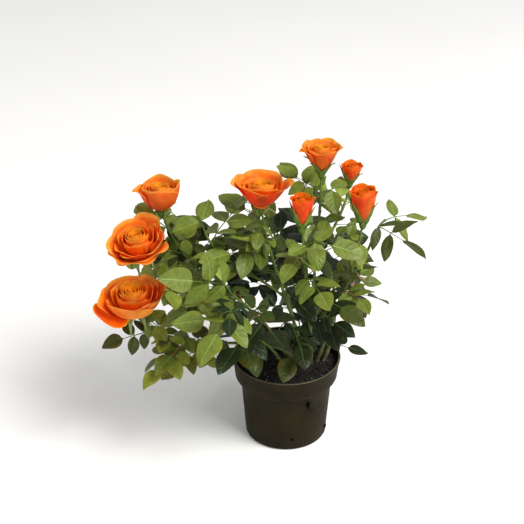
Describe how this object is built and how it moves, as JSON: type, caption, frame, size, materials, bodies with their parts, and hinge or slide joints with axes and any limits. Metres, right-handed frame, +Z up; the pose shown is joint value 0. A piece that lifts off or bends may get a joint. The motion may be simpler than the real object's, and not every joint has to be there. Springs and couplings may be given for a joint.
{
  "type": "potted rose bush",
  "caption": "Miniature rose bush in a round nursery pot: leafy canes with compound leaves, open orange roses and upright buds.",
  "frame": {"origin": "centre of the pot's flat underside, on the surface it stands on", "axes": "+Z up along the pot's axis; the bush leans its largest roses towards -X; the pictured front faces -Y"},
  "size_m": [0.3544, 0.3474, 0.336],
  "materials": {
    "pot": "dull dark taupe, slightly soiled",
    "soil": "matt dark crumbly peat",
    "canes": "satin green bark with small thorns",
    "leaves": "satin, paler and greyer underneath",
    "roses": "soft velvety petals on green hips and sepals"
  },
  "bodies": {
    "root": {"pot": "pot", "soil": "soil", "bough_left_mid": "canes", "cane_back": "canes", "cane_back_left": "canes", "cane_back_right": "canes", "cane_base_front": "canes", "cane_base_left": "canes", "cane_base_right": "canes", "cane_center": "canes", "cane_front": "canes", "cane_inner_left": "canes", "cane_left": "canes", "cane_left_high": "canes", "cane_right": "canes", "cane_right_high": "canes", "cane_right_low": "canes", "foliage_back": "leaves", "foliage_back_left": "leaves", "foliage_back_right": "leaves", "foliage_base_front": "leaves", "foliage_base_left": "leaves", "foliage_base_right": "leaves", "foliage_center": "leaves", "foliage_front": "leaves", "foliage_inner_left": "leaves", "foliage_left_high": "leaves", "foliage_left_low": "leaves", "foliage_left_mid": "leaves", "foliage_right": "leaves", "foliage_right_high": "leaves", "foliage_right_low": "leaves", "rose_center": "roses", "rose_front": "roses", "rose_left_high": "roses", "rose_left_low": "roses", "rose_left_mid": "roses", "rose_right": "roses", "rose_right_back": "roses", "rose_right_high": "roses"}
  },
  "joints": []
}
